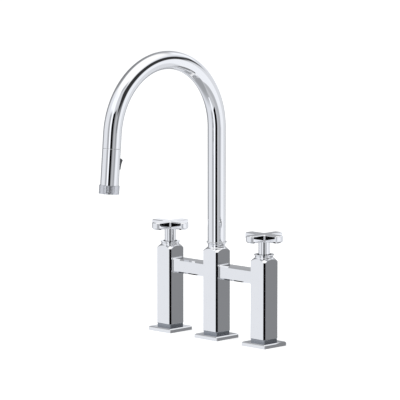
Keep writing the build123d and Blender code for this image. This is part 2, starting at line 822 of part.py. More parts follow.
save(base_plate(middle_shank_radius), "center_base_plate")
save(at_three_posts(pipe(seal_outer, seal_inner, 0, seal_thickness)), "plate_seals")
save(middle_post(), "center_post")
save(shank(middle_shank_radius, middle_shank_bore), "center_shank")
save(clamp_gasket(middle_shank_radius), "center_clamp_gasket")
save(clamp_washer(middle_shank_radius), "center_clamp_washer")
save(mounting_nut(middle_nut_flats, middle_shank_radius), "center_mounting_nut")
save(at_side_posts(clamp_gasket(side_shank_radius)), "side_clamp_gaskets")
save(at_side_posts(clamp_washer(side_shank_radius)), "side_clamp_washers")
save(at_side_posts(mounting_nut(side_nut_flats, side_shank_radius)), "side_mounting_nuts")

seal = pipe(inlet_seal_outer, inlet_seal_inner, valve_seat_height, barrel_foot)
save(at_side_posts(seal), "inlet_seals")
save(at_side_posts(ceramic_disc(barrel_bore - thread_gap, disc_foot)), "fixed_discs")

for side, place in SIDES.items():
    save(place * base_plate(side_shank_radius), side + "_base_plate")
    save(place * valve_post(), side + "_post")
    save(place * side_shank(), side + "_shank")
    save(place * Pos(bar_middle, 0, bar_axis_height) * bridge_bar(), side + "_bridge_bar")
    save(place * cartridge_body(), side + "_cartridge_body")
    save(place * ceramic_disc(barrel_bore - run_gap, turning_disc_foot), side + "_turning_disc")
    save(place * spindle(), side + "_spindle")
    save(place * spindle_clip(), side + "_spindle_clip")
    save(Pos(place.position) * handle_stem(), side + "_handle_stem")
    save(Pos(place.position) * cross_handle(), side + "_cross_handle")
    save(Pos(place.position) * handle_screw(), side + "_handle_screw")

bar_seals = [place * Pos(bar_middle, 0, bar_axis_height) * bar_seal(end)
             for place in SIDES.values() for end in (-1, 1)]
save(Compound(bar_seals), "bridge_seals")

save(water_sleeve(), "water_sleeve")
save(Compound(sleeve_seals()), "sleeve_seals")
save(outlet_tube(), "outlet_tube")

save(spout_tube(), "spout_tube")
save(spout_foot(), "spout_foot")
save(Compound(slip_rings()), "slip_rings")
save(thrust_washer(), "thrust_washer")
save(spout_retaining_screw(), "spout_retaining_screw")
save(spray_hose(), "spray_hose")
save(hose_tail(), "hose_tail")
save(hose_connector(), "hose_connector")

for build_piece in (dock_insert, dock_magnet, hose_end_fitting, hose_coupling, wand_neck, magnet_keeper,
                    wand_shell, waterway, diverter_spool, toggle, toggle_pin, knurled_ring,
                    nozzle_plate, aerator):
    save(WAND * build_piece(), build_piece.__name__)
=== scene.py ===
import json
from math import cos, pi, radians, sin, tan

import bmesh
import bpy
from mathutils import Matrix, Vector


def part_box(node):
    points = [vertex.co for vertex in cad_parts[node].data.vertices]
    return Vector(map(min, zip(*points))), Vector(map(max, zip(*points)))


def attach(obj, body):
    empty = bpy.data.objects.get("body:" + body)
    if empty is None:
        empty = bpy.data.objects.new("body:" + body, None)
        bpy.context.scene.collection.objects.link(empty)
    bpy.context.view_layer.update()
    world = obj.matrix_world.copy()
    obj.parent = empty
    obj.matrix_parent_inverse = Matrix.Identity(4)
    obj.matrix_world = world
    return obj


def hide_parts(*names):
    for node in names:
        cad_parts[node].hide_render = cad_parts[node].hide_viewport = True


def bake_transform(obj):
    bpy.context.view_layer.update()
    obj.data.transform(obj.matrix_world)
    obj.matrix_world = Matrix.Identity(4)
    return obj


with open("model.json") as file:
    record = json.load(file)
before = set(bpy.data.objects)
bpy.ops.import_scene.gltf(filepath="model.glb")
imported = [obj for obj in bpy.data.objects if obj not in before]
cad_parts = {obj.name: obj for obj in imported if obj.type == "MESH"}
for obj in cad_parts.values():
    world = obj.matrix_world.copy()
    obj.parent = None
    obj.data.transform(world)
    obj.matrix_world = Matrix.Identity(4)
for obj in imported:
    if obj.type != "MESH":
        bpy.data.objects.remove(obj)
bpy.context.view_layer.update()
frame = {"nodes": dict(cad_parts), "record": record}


# ---- The view -----------------------------------------------------------------------------
# A long lens stands a little above the rims of the posts, to the right of the faucet's front,
# so the spout swings out to the left and both front faces of the posts show.
view_azimuth = radians(44.44)
view_height = radians(7.85)
view_distance = 5.5527
view_aim = Vector((0, -0.0368, 0.2199))
towards_view = Vector((sin(view_azimuth) * cos(view_height), -cos(view_azimuth) * cos(view_height),
                       sin(view_height)))

bpy.ops.object.camera_add(location=view_aim + towards_view * view_distance)
camera = bpy.context.object
camera.rotation_euler = towards_view.to_track_quat("Z", "Y").to_euler()
camera.data.sensor_width = 36
camera.data.lens = 324
camera.data.clip_end = 100
bpy.context.scene.camera = camera
bpy.context.scene.view_settings.view_transform = "Standard"


# ---- The studio ---------------------------------------------------------------------------
# A white table under a soft overhead light. Polished chrome shows only what stands round it, so the
# studio has soft white walls, grey walls and a few dark boards, as chrome is always photographed.
class Tone:
    """One socket of a node tree. Sums on it add Math nodes, and node() adds any other kind."""

    def __init__(self, tree, socket=None):
        self.tree = tree
        self.socket = socket

    def node(self, kind, settings=None, sockets=None, output=0):
        new = self.tree.nodes.new("ShaderNode" + kind)
        for name, value in (settings or {}).items():
            setattr(new, name, value)
        for name, value in (sockets or {}).items():
            if isinstance(value, Tone):
                self.tree.links.new(value.socket, new.inputs[name])
            else:
                new.inputs[name].default_value = value
        return Tone(self.tree, new.outputs[output] if new.outputs else None)

    def math(self, operation, *values):
        return self.node("Math", {"operation": operation}, dict(enumerate(values)))

    def __add__(self, other):
        return self.math("ADD", self, other)

    def __radd__(self, other):
        return self.math("ADD", other, self)

    def __sub__(self, other):
        return self.math("SUBTRACT", self, other)

    def __rsub__(self, other):
        return self.math("SUBTRACT", other, self)

    def __mul__(self, other):
        return self.math("MULTIPLY", self, other)

    def __rmul__(self, other):
        return self.math("MULTIPLY", other, self)

    def __truediv__(self, other):
        return self.math("DIVIDE", self, other)

    def __rtruediv__(self, other):
        return self.math("DIVIDE", other, self)

    def soft_step(self, low, high):
        return self.node("MapRange", {"interpolation_type": "SMOOTHSTEP"}, {0: self, 1: low, 2: high})

    def within(self, half, softness):
        """1 between -half and +half, fading to 0 over the softness."""
        return 1 - self.math("ABSOLUTE", self).soft_step(half - softness / 2, half + softness / 2)


def board(sight, under, azimuth, height, half_width, half_height, tone, softness, roll=0):
    """Hangs one flat board or lamp in the studio: angles in degrees, azimuth counted from the camera."""
    turn = view_azimuth + radians(azimuth)
    out = Vector((sin(turn) * cos(radians(height)), -cos(turn) * cos(radians(height)), sin(radians(height))))
    side = Matrix.Rotation(radians(roll), 3, out) @ Vector((cos(turn), sin(turn), 0))
    rise = side.cross(-out)
    ahead = sight.node("VectorMath", {"operation": "DOT_PRODUCT"}, {0: sight, 1: out}, output=1)
    across = sight.node("VectorMath", {"operation": "DOT_PRODUCT"}, {0: sight, 1: side}, output=1) / ahead
    along = sight.node("VectorMath", {"operation": "DOT_PRODUCT"}, {0: sight, 1: rise}, output=1) / ahead
    mask = across.within(tan(radians(half_width)), softness)
    mask = mask * along.within(tan(radians(half_height)), softness) * ahead.math("GREATER_THAN", ahead, 0)
    return sight.node("MixRGB", {}, {0: mask, 1: under, 2: (*[tone * tint for tint in cool_white], 1)})


cool_white = (0.965, 0.985, 1.03)
world = bpy.data.worlds.new("studio")
world.use_nodes = True
world.node_tree.nodes.clear()
bpy.context.scene.world = world
sight = Tone(world.node_tree).node("TexCoord")
height_seen = sight.node("SeparateXYZ", {}, {0: sight}, output=2)
walls = sight.node("MixRGB", {}, {0: height_seen.soft_step(-0.95, -0.55), 1: (0.365, 0.375, 0.395, 1),
                                  2: (0.79, 0.81, 0.86, 1)})
walls = sight.node("MixRGB", {}, {0: height_seen.soft_step(0.55, 0.85), 1: walls, 2: (1.12, 1.12, 1.12, 1)})
# Azimuth, height, half width and half height in degrees, then tone, softness of the edge and roll.
# Each board hides what was hung before it.
boards = (
    (-152, 15, 32, 42, 0.35, 0.5),             # grey cloth behind, on the left
    (165, 36, 35, 14, 0.43, 0.4),              # grey cloth high behind, on the right
    (180, 9.5, 12, 3.2, 1.15, 0.2),            # strip lamp straight behind, seen in the flat tops
    (-157, 25, 17, 17, 0.22, 0.5),             # darker middle of the left cloth
    (-92, 12, 27, 26, 0.86, 0.2),              # pale wall on the left
    (-58, 37, 17, 9, 1.1, 0.2),                # lamp high on the left
    (-48, -4, 12, 30, 0.45, 0.2),              # grey wall in front, on the left
    (-28, 5, 8, 60, 1.15, 0.08),               # tall strip lamp left of the lens
    (2, 30, 13, 15, 0.68, 0.15),               # pale ceiling above the lens
    (6, 51, 12, 5, 0.44, 0.15),                # grey edge of that ceiling
    (20, -20, 22, 45, 0.60, 0.15),             # grey wall right of the lens
    (38, -22, 12, 38, 0.50, 0.10),             # darker stretch of that wall
    (112, -28, 40, 44, 0.78, 0.12),            # pale wall on the right
    (137, 32, 14, 12, 1.05, 0.15),             # lamp behind, on the right
    (76, -24, 20, 38, 0.98, 0.12),             # low softbox on the right
    (51.5, 5.5, 10, 10.5, 0.25, 0.15),         # dark grey card in front, on the right
    (13, 9, 6, 12, 0.27, 0.15),                # dark grey card beside the lens
    (106, 19, 16, 6.5, 0.05, 0.12),            # black board on the right
    (44, 27, 17, 15, 0.035, 0.14),             # black board above, on the right
    (64, 26.2, 36, 13.5, 0.035, 0.14, -8.6),   # long black board that joins the last two
    (-4.9, -5, 13.1, 29, 0.003, 0.05))         # black board round the lens
for place_and_tone in boards:
    walls = board(sight, walls, *place_and_tone)
for_mirrors = sight.node("Background", {}, {0: walls})
plain_white = sight.node("Background", {}, {0: (1, 1, 1, 1)})
soft_fill = sight.node("Background", {}, {0: (0.78, 0.79, 0.80, 1)})
seen_straight = Tone(world.node_tree).node("LightPath", output="Is Camera Ray")
seen_in_mirror = Tone(world.node_tree).node("LightPath", output="Is Glossy Ray")
light = sight.node("MixShader", {}, {0: seen_in_mirror, 1: soft_fill, 2: for_mirrors})
light = sight.node("MixShader", {}, {0: seen_straight, 1: light, 2: plain_white})
sight.node("OutputWorld", {}, {0: light})

bpy.ops.object.select_all(action="DESELECT")
bpy.ops.mesh.primitive_plane_add(size=12)
table = bpy.context.object
table.name = "table"
table.visible_glossy = False
table_top = bpy.data.materials.new("white_table")
table_top.use_nodes = True
table_top.node_tree.nodes.clear()
paint = Tone(table_top.node_tree)
glow = paint.node("Emission", {}, {0: (1, 1, 1, 1), 1: 0.45})
matte = paint.node("BsdfDiffuse", {}, {0: (0.8, 0.8, 0.8, 1)})
paint.node("OutputMaterial", {}, {0: paint.node("AddShader", {}, {0: glow, 1: matte})})
table.data.materials.append(table_top)


def card(name, facing, distance, aside, height, size, tone, roll=0):
    """A small grey card close by, which only shows mirrored in the faces that look at it."""
    bpy.ops.object.select_all(action="DESELECT")
    along = Vector((facing.y, -facing.x, 0))
    bpy.ops.mesh.primitive_plane_add(size=1)
    sheet = bpy.context.object
    sheet.name = name
    place = Matrix.Translation(facing * distance + along * aside + Vector((0, 0, height)))
    turn = Matrix.Rotation(radians(roll), 4, facing) @ facing.to_track_quat("Z", "Y").to_matrix().to_4x4()
    sheet.matrix_world = place @ turn @ Matrix.Diagonal((*size, 1, 1))
    for ray in ("camera", "shadow", "diffuse"):
        setattr(sheet, "visible_" + ray, False)
    colour = bpy.data.materials.new(name)
    colour.use_nodes = True
    colour.node_tree.nodes.clear()
    paint = Tone(colour.node_tree)
    glow = paint.node("Emission", {}, {0: (*[tone * tint for tint in cool_white], 1)})
    paint.node("OutputMaterial", {}, {0: glow})
    sheet.data.materials.append(colour)


beside = Vector((0.70, 0.714, 0))
behind = Vector((-0.70, 0.714, 0))
card_foot = -0.12
card_width = 0.0725
card_distance = 0.2
card_tone = 0.255
for name, aside, top in (
        ("left_card", -0.061, 0.102), ("middle_card", 0.011, 0.1205), ("right_card", 0.0835, 0.1220)):
    card(name, beside, card_distance, aside, (top + card_foot) / 2, (card_width, top - card_foot), card_tone)
card("back_card", behind, 0.4, 0.156, 0.174, (0.3, 0.4), 0.42, roll=45)

bpy.ops.object.light_add(type="AREA", location=(-0.5, -0.6, 2.2))
overhead = bpy.context.object
overhead.name = "overhead_light"
overhead.data.shape = "DISK"
overhead.data.size = 1.6
overhead.data.energy = 14
overhead.visible_glossy = False
overhead.rotation_euler = (overhead.location - Vector((0, -0.05, 0.2))).to_track_quat("Z", "Y").to_euler()


# ---- Base plates --------------------------------------------------------------------------
# Cast brass squares that hide the holes in the counter: bevelled round the top, with a recessed
# plinth that makes the shadow gap under each post, ground, polished and chromed.
def begin(kind, name, **size):
    """Adds a primitive with nothing else selected, and gives it back with its place in its mesh."""
    bpy.ops.object.select_all(action="DESELECT")
    getattr(bpy.ops.mesh, "primitive_" + kind + "_add")(**size)
    piece = bpy.context.object
    piece.name = name
    bpy.ops.object.transform_apply()
    return piece


def only(piece):
    bpy.ops.object.select_all(action="DESELECT")
    piece.select_set(True)
    bpy.context.view_layer.objects.active = piece


def pick(piece, what, test):
    """In edit mode, selects the faces, edges or verts of the piece that pass the test."""
    bpy.ops.mesh.select_mode(type={"faces": "FACE", "edges": "EDGE", "verts": "VERT"}[what])
    bpy.ops.mesh.select_all(action="DESELECT")
    mesh = bmesh.from_edit_mesh(piece.data)
    for part in getattr(mesh, what):
        if test(part):
            part.select_set(True)
    bmesh.update_edit_mesh(piece.data)


def middle(part):
    return sum((corner.co for corner in part.verts), Vector()) / len(part.verts)


def upright(edge):
    run = edge.verts[1].co - edge.verts[0].co
    return abs(run.z) > 0.99 * run.length


def modify(piece, kind, **settings):
    """Adds a modifier with its settings and applies it."""
    only(piece)
    modifier = piece.modifiers.new(kind.lower(), kind)
    for name, value in settings.items():
        setattr(modifier, name, value)
    bpy.ops.object.modifier_apply(modifier=modifier.name)


def cut(piece, tool, operation="DIFFERENCE"):
    modify(piece, "BOOLEAN", object=tool, operation=operation, solver="EXACT")
    bpy.data.objects.remove(tool)


def polish(piece, angle=30):
    """Smooth shading that keeps the piece's real edges crisp and its flat faces flat."""
    only(piece)
    bpy.ops.object.shade_smooth_by_angle(angle=radians(angle))
    modify(piece, "WEIGHTED_NORMAL", keep_sharp=True)


def copied(piece, name, place):
    """A copy of a finished piece with its own mesh, set in another place."""
    twin = piece.copy()
    twin.data = piece.data.copy()
    twin.name = name
    twin.data.transform(place)
    bpy.context.scene.collection.objects.link(twin)
    return twin


def fit(piece, body, slot, finish, *nodes):
    """Gives a finished piece its finish and the body that it moves with, and hides the CAD nodes that it
    stands for.
    """
    piece.data.materials.clear()
    piece.data.materials.append(finish)
    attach(piece, body)
    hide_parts(*nodes)


def finish_of(name, build):
    """A material whose nodes the build function makes from the piece's own coordinates."""
    material = bpy.data.materials.new(name)
    material.use_nodes = True
    material.node_tree.nodes.clear()
    place = Tone(material.node_tree).node("TexCoord", output="Object")
    shader = place.node("BsdfPrincipled", {}, build(place))
    place.node("OutputMaterial", {}, {0: shader})
    return material


def clouds(place, scale, detail=3):
    return place.node("TexNoise", {}, {"Vector": place, "Scale": scale, "Detail": detail, "Roughness": 0.5})


def blend(low, high, share):
    """A colour between two, by a share that varies over the surface."""
    return share.node("MixRGB", {}, {0: share, 1: (*low, 1), 2: (*high, 1)})


def relief(height, depth):
    return height.node("Bump", {}, {"Height": height, "Distance": depth, "Strength": 1.0}, output="Normal")


def chrome_plate(place):
    hand_marks = clouds(place, 45, detail=4)
    buffing = clouds(place, 900, detail=2)
    return {"Base Color": blend((0.90, 0.905, 0.92), (0.93, 0.935, 0.945), hand_marks), "Metallic": 1.0,
            "Roughness": 0.018 + 0.02 * hand_marks + 0.008 * buffing}


def plinth_painted_shade(place):
    """Bright plate with painted shade on the recessed plinth: its colour goes grey there for the shadow gap,
    and it is rougher, satin.
    """
    height = place.node("SeparateXYZ", {}, {0: place}, output=2)
    bright = chrome_plate(place)
    # Painted shade: the plinth's band of height is darkened to grey, standing in for the shadow gap under the
    # post.
    plinth_shade_mask = (height - plinth_middle).within(plinth_half_height, plinth_edge)
    grey = plinth_shade_mask.node("MixRGB", {}, {0: plinth_shade_mask, 1: bright["Base Color"], 2: (0.34, 0.36, 0.39, 1)})
    return {"Base Color": grey, "Metallic": 1.0, "Roughness": bright["Roughness"] + 0.22 * plinth_shade_mask}


# Where the plinth's painted shade lies: its middle height, half height and soft edge.
plinth_middle = 0.0089
plinth_half_height = 0.0024
plinth_edge = 0.0002
chrome = finish_of("polished_chrome", chrome_plate)
plate_chrome = finish_of("plate_chrome", plinth_painted_shade)
plate_low, plate_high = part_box("center_base_plate")
post_low, post_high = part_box("center_post")
hot_low, hot_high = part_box("hot_base_plate")
side_place = {"hot": Matrix.Translation(((hot_low.x + hot_high.x) / 2, 0, 0)),
              "cold": Matrix.Translation((-(hot_low.x + hot_high.x) / 2, 0, 0))}
plate_width = plate_high.x - plate_low.x
plate_side = 0.0048
plate_bevel = 0.0017
plinth_half = post_high.x - 0.0014
plate_corner = 0.001
plate_edge = 0.0003
shank_hole = 0.01325


def base_plate(name):
    plate = begin("cube", name, size=1, scale=(plate_width, plate_width, plate_side),
                  location=(0, 0, plate_side / 2))
    bpy.ops.object.mode_set(mode="EDIT")
    pick(plate, "faces", lambda face: face.normal.z > 0.9)
    bpy.ops.mesh.extrude_region_move(TRANSFORM_OT_translate={"value": (0, 0, plate_bevel)})
    shrink = 1 - 2 * plate_bevel / plate_width
    bpy.ops.transform.resize(value=(shrink, shrink, 1), center_override=(0, 0, 0))
    bpy.ops.mesh.inset(thickness=plate_width / 2 - plate_bevel - plinth_half)
    plinth_rise = post_low.z - plate_side - plate_bevel
    bpy.ops.mesh.extrude_region_move(TRANSFORM_OT_translate={"value": (0, 0, plinth_rise)})
    pick(plate, "edges", lambda edge: abs(edge.verts[0].co.z - edge.verts[1].co.z) > 1e-5)
    bpy.ops.mesh.bevel(offset=plate_corner, segments=3)
    bpy.ops.object.mode_set(mode="OBJECT")
    cut(plate, begin("cylinder", "hole", vertices=96, radius=shank_hole, depth=0.1))
    modify(plate, "BEVEL", width=plate_edge, segments=3, limit_method="ANGLE", angle_limit=radians(30))
    polish(plate)
    return plate


center_plate = base_plate("middle_base_plate")
for side, place in side_place.items():
    plate = copied(center_plate, side + "_side_base_plate", place)
    fit(plate, "root", "chrome", plate_chrome, side + "_base_plate")
fit(center_plate, "root", "chrome", plate_chrome, "center_base_plate")


# ---- Posts --------------------------------------------------------------------------------
# Square brass bars with chamfered corners. The top of each is turned on a lathe to a round shoulder,
# a hollow neck and a thin flared rim, then the whole post is polished and chromed.
def through(first, second, third, steps=10):
    """Points of the arc through three points."""
    (ax, ay), (bx, by), (cx, cy) = first, second, third
    scale = 2 * (ax * (by - cy) + bx * (cy - ay) + cx * (ay - by))
    a, b, c = ax * ax + ay * ay, bx * bx + by * by, cx * cx + cy * cy
    center = Vector(((a * (by - cy) + b * (cy - ay) + c * (ay - by)) / scale,
                     (a * (cx - bx) + b * (ax - cx) + c * (bx - ax)) / scale))
    start, stop = Vector(first) - center, Vector(third) - center
    sweep = start.angle_signed(stop)
    return [tuple(center + Matrix.Rotation(-sweep * step / steps, 2) @ start) for step in range(steps + 1)]


def turned(name, outline, sides=128, closed=False):
    """A piece turned on a lathe: a circle drawn on along an outline of (radius, height) points."""
    radius, height = outline[0]
    piece = begin("circle", name, vertices=sides, radius=radius, location=(0, 0, height))
    bpy.ops.object.mode_set(mode="EDIT")
    bpy.ops.mesh.select_mode(type="EDGE")
    bpy.ops.mesh.select_all(action="SELECT")
    if not closed:
        bpy.ops.mesh.edge_face_add()
    for next_radius, next_height in outline[1:]:
        bpy.ops.mesh.extrude_region_move(TRANSFORM_OT_translate={"value": (0, 0, next_height - height)})
        grow = next_radius / radius
        bpy.ops.transform.resize(value=(grow, grow, 1), center_override=(0, 0, 0))
        radius, height = next_radius, next_height
    bpy.ops.mesh.select_all(action="SELECT")
    if closed:
        bpy.ops.mesh.remove_doubles(threshold=1e-6)
    bpy.ops.mesh.normals_make_consistent(inside=False)
    bpy.ops.object.mode_set(mode="OBJECT")
    return piece


post_chamfer = 0.0025
post_foot_bevel = 0.0008
post_edge = 0.00025
shoulder_inner = 0.0147
shoulder_reach = 0.0064
shoulder_fall = 0.0058
shoulder_bulge = 0.00028
rim_height = 0.001
side_shoulder_top = 0.13675
side_neck = 0.014
side_rim = 0.0155
middle_shoulder_top = 0.14225
middle_neck = 0.0134
middle_rim = 0.0158
valve_bore = 0.011
valve_seat = 0.097
spout_bore = 0.01061
spout_bore_foot = 0.124


def square_post(name, top, shoulder_top, neck, rim, bore, bore_foot):
    """A chamfered bar, shaped at its top by a turned blank and bored from above."""
    height = top - post_low.z
    bar = begin("cube", name, size=1, scale=(post_high.x * 2, post_high.x * 2, height),
                location=(0, 0, post_low.z + height / 2))
    bpy.ops.object.mode_set(mode="EDIT")
    pick(bar, "edges", upright)
    bpy.ops.mesh.bevel(offset=post_chamfer)
    pick(bar, "edges", lambda edge: middle(edge).z < post_low.z + 1e-5)
    bpy.ops.mesh.bevel(offset=post_foot_bevel)
    bpy.ops.object.mode_set(mode="OBJECT")
    wide = shoulder_inner + shoulder_reach
    shoulder_low = shoulder_top - shoulder_fall
    rim_low = top - rim_height
    bulge = ((wide + shoulder_inner) / 2 + shoulder_bulge, (shoulder_top + shoulder_low) / 2 + shoulder_bulge)
    waist = (neck, (shoulder_top + rim_low) / 2)
    blank = turned("blank", [(wide, post_low.z - 0.001)]
                   + through((wide, shoulder_low), bulge, (shoulder_inner, shoulder_top))
                   + through((shoulder_inner, shoulder_top), waist, (rim, rim_low))[1:] + [(rim, top)])
    cut(bar, blank, "INTERSECT")
    cut(bar, begin("cylinder", "bore", vertices=128, radius=bore, depth=top - bore_foot + 0.01,
                   location=(0, 0, (top + bore_foot + 0.01) / 2)))
    modify(bar, "BEVEL", width=post_edge, segments=2, limit_method="ANGLE", angle_limit=radians(32))
    polish(bar, 24)
    return bar


side_post = square_post("side_post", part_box("hot_post")[1].z, side_shoulder_top, side_neck, side_rim,
                        valve_bore, valve_seat)
for side, place in side_place.items():
    fit(copied(side_post, side + "_side_post", place), "root", "chrome", chrome, side + "_post")
bpy.data.objects.remove(side_post)
middle_post = square_post("middle_post", post_high.z, middle_shoulder_top, middle_neck, middle_rim,
                          spout_bore, spout_bore_foot)
fit(middle_post, "root", "chrome", chrome, "center_post")


# ---- Bridge bars --------------------------------------------------------------------------
# Two chamfered hollow brass bars that carry the hot and the cold water to the middle post. Their
# ends butt against the posts, where the brazed joint is dressed to a small hollow fillet.
bar_low, bar_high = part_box("hot_bridge_bar")
spigot = 0.0022
bar_wide = bar_high.y - bar_low.y
bar_height = bar_high.z - bar_low.z
bar_chamfer = 0.0023
bar_edge = 0.0002
bar_wall = 0.0045
braze = 0.0013
braze_steps = 6
for side in side_place:
    low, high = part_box(side + "_bridge_bar")
    center = (low + high) / 2
    reach = (high.x - low.x) / 2 - spigot
    bar = begin("cube", side + "_side_bar", size=1, scale=(2 * (reach - braze), bar_wide, bar_height),
                location=center)
    bpy.ops.object.mode_set(mode="EDIT")
    pick(bar, "edges", lambda edge: abs(edge.verts[0].co.x - edge.verts[1].co.x) > 0.01)
    bpy.ops.mesh.bevel(offset=bar_chamfer)
    pick(bar, "faces", lambda face: abs(face.normal.x) > 0.9)
    half_length, half_width = reach - braze, bar_wide / 2
    for step in range(1, braze_steps + 1):
        turn = pi / 2 * step / braze_steps
        next_length = reach - braze + braze * sin(turn)
        next_width = bar_wide / 2 + braze * (1 - cos(turn))
        grow = next_width / half_width
        bpy.ops.mesh.extrude_region_move()
        bpy.ops.transform.resize(value=(next_length / half_length, grow, grow), center_override=center)
        half_length, half_width = next_length, next_width
    bpy.ops.mesh.inset(thickness=bar_wall)
    bpy.ops.mesh.extrude_region_move()
    bpy.ops.transform.resize(value=(1 + spigot / reach, 1, 1), center_override=center)
    bpy.ops.object.mode_set(mode="OBJECT")
    modify(bar, "BEVEL", width=bar_edge, segments=2, limit_method="ANGLE", angle_limit=radians(30))
    polish(bar)
    fit(bar, "root", "chrome", chrome, side + "_bridge_bar")


# ---- Handles ------------------------------------------------------------------------------
# Each handle is a round brass stem with a four-armed cross on top. The arms are flat bars with softly
# rounded ends, chamfered all round below and more finely above.
arm_half = 0.0082
arm_length = 0.0321
arm_tip = 0.0175
tip_cuts = 5
inner_corner = 0.002
under_chamfer = 0.0026
top_chamfer = 0.0012
cross_edge = 0.00025
cross_low, cross_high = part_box("hot_cross_handle")
stem_low, stem_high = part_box("hot_handle_stem")
crown = arm_tip - (arm_tip ** 2 - arm_half ** 2) ** 0.5

cross = begin("cube", "cross", size=1, scale=(2 * arm_half, 2 * arm_half, cross_high.z - cross_low.z),
              location=(0, 0, (cross_low.z + cross_high.z) / 2))
bpy.ops.object.mode_set(mode="EDIT")
for turn in range(4):
    out = Vector((cos(turn * pi / 2), sin(turn * pi / 2), 0))
    pick(cross, "faces", lambda face: face.normal.dot(out) > 0.9 and middle(face).xy.length < arm_half + 1e-5)
    bpy.ops.mesh.extrude_region_move(TRANSFORM_OT_translate={"value": out * (arm_length - arm_half)})
for turn in range(4):
    out = Vector((cos(turn * pi / 2), sin(turn * pi / 2), 0))
    side = Vector((-out.y, out.x, 0))
    pick(cross, "edges", lambda edge: middle(edge).dot(out) > arm_length - 1e-5 and not upright(edge))
    bpy.ops.mesh.subdivide(number_cuts=tip_cuts)
    mesh = bmesh.from_edit_mesh(cross.data)
    for corner in mesh.verts:
        if corner.co.dot(out) > arm_length - 1e-5:
            corner.co += out * ((arm_tip ** 2 - corner.co.dot(side) ** 2) ** 0.5 - arm_tip + crown)
    bmesh.update_edit_mesh(cross.data)
pick(cross, "edges", lambda edge: upright(edge) and middle(edge).xy.length < 0.013)
bpy.ops.mesh.bevel(offset=inner_corner, segments=4)
bpy.ops.object.mode_set(mode="OBJECT")
modify(cross, "WELD", merge_threshold=1e-6)
bpy.ops.object.mode_set(mode="EDIT")
pick(cross, "faces", lambda face: face.normal.z < -0.9)
bpy.ops.mesh.dissolve_faces()
pick(cross, "faces", lambda face: face.normal.z > 0.9)
bpy.ops.mesh.dissolve_faces()
pick(cross, "edges", lambda edge: middle(edge).z < cross_low.z + 1e-5)
bpy.ops.mesh.bevel(offset=under_chamfer, segments=1)
pick(cross, "edges", lambda edge: middle(edge).z > cross_high.z - 1e-5)
bpy.ops.mesh.bevel(offset=top_chamfer, segments=1)
bpy.ops.object.mode_set(mode="OBJECT")
modify(cross, "BEVEL", width=cross_edge, segments=2, limit_method="ANGLE", angle_limit=radians(28))
polish(cross, 24)

stem_radius = (stem_high.x - stem_low.x) / 2
stem_foot_edge = 0.0004
stem_top_edge = 0.0003
stem = turned("stem", [
    (stem_radius - stem_foot_edge, stem_low.z), (stem_radius, stem_low.z + stem_foot_edge),
    (stem_radius, cross_low.z - stem_top_edge), (stem_radius - stem_top_edge, cross_low.z)])
polish(stem)
for side, place in side_place.items():
    fit(copied(cross, side + "_cross", place), side + "_handle", "chrome", chrome, side + "_cross_handle")
    fit(copied(stem, side + "_stem", place), side + "_handle", "chrome", chrome, side + "_handle_stem")
bpy.data.objects.remove(cross)
bpy.data.objects.remove(stem)


# ---- Grub screws --------------------------------------------------------------------------
# Stainless screws with a hexagon socket. One at the back of each handle holds its stem on the
# spindle, and one in the back of the middle post keeps the spout in its bearing.
def steel_surface(place):
    turning = clouds(place, 260, detail=3)
    return {"Base Color": blend((0.52, 0.53, 0.54), (0.66, 0.67, 0.68), turning), "Metallic": 1.0,
            "Roughness": 0.22 + 0.18 * turning}


steel = finish_of("stainless_steel", steel_surface)
socket_depth = 0.002
socket_radius = 0.0012
screw_bevel = 0.0004
spout_screw_tip = 0.0015
spout_screw_tip_length = 0.0014


def grub_screw(name, node, body, tip_radius=None, tip_length=0.0):
    """A screw along Y in the place of its CAD node, its socket at the back."""
    low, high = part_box(node)
    radius, length = (high.x - low.x) / 2, high.y - low.y
    outline = [(tip_radius or radius - screw_bevel, 0), (tip_radius or radius, tip_length or screw_bevel)]
    if tip_radius:
        outline += [(radius, tip_length)]
    screw = turned(name, outline + [(radius, length - screw_bevel), (radius - screw_bevel, length)], sides=48)
    cut(screw, begin("cylinder", "socket", vertices=6, radius=socket_radius, depth=2 * socket_depth,
                     location=(0, 0, length)))
    polish(screw)
    screw.data.transform(Matrix.Translation(((low.x + high.x) / 2, low.y, (low.z + high.z) / 2))
                         @ Matrix.Rotation(-pi / 2, 4, "X"))
    fit(screw, body, "steel", steel, node)


for side in side_place:
    grub_screw(side + "_grub_screw", side + "_handle_screw", side + "_handle")
grub_screw("spout_grub_screw", "spout_retaining_screw", "root", spout_screw_tip, spout_screw_tip_length)


# ---- Spout tube ---------------------------------------------------------------------------
# One length of thin-walled brass tube, bent on a mandrel through nearly half a circle and left
# straight at both ends, then polished along its length and chromed.
tube_low, tube_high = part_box("spout_tube")
tube_radius = tube_high.x
tube_wall = 0.0011
tube_edge = 0.0002
bend_steps = 180
bend_radius = 0.1125
bend_height = tube_high.z - tube_radius - bend_radius
lean = radians(4.83)
stub = 0.0222
down = Vector((0, -sin(lean), -cos(lean)))
bend_end = Vector((0, -bend_radius * (1 + cos(lean)), bend_height + bend_radius * sin(lean)))
seam = bend_end + down * stub

tube = begin("circle", "gooseneck_tube", vertices=96, radius=tube_radius, location=(0, 0, tube_low.z))
bpy.ops.object.mode_set(mode="EDIT")
bpy.ops.mesh.select_mode(type="EDGE")
bpy.ops.mesh.select_all(action="SELECT")
bpy.ops.mesh.extrude_region_move(TRANSFORM_OT_translate={"value": (0, 0, bend_height - tube_low.z)})
bpy.ops.mesh.spin(steps=bend_steps, angle=-(pi - lean), center=(0, -bend_radius, bend_height), axis=(1, 0, 0))
bpy.ops.mesh.extrude_region_move(TRANSFORM_OT_translate={"value": down * stub})
bpy.ops.mesh.select_all(action="SELECT")
bpy.ops.mesh.remove_doubles(threshold=1e-6)
bpy.ops.mesh.normals_make_consistent(inside=False)
bpy.ops.object.mode_set(mode="OBJECT")
modify(tube, "SOLIDIFY", thickness=tube_wall, offset=-1)
modify(tube, "BEVEL", width=tube_edge, segments=2, limit_method="ANGLE", angle_limit=radians(60))
polish(tube)
fit(tube, "spout", "chrome", chrome, "spout_tube")


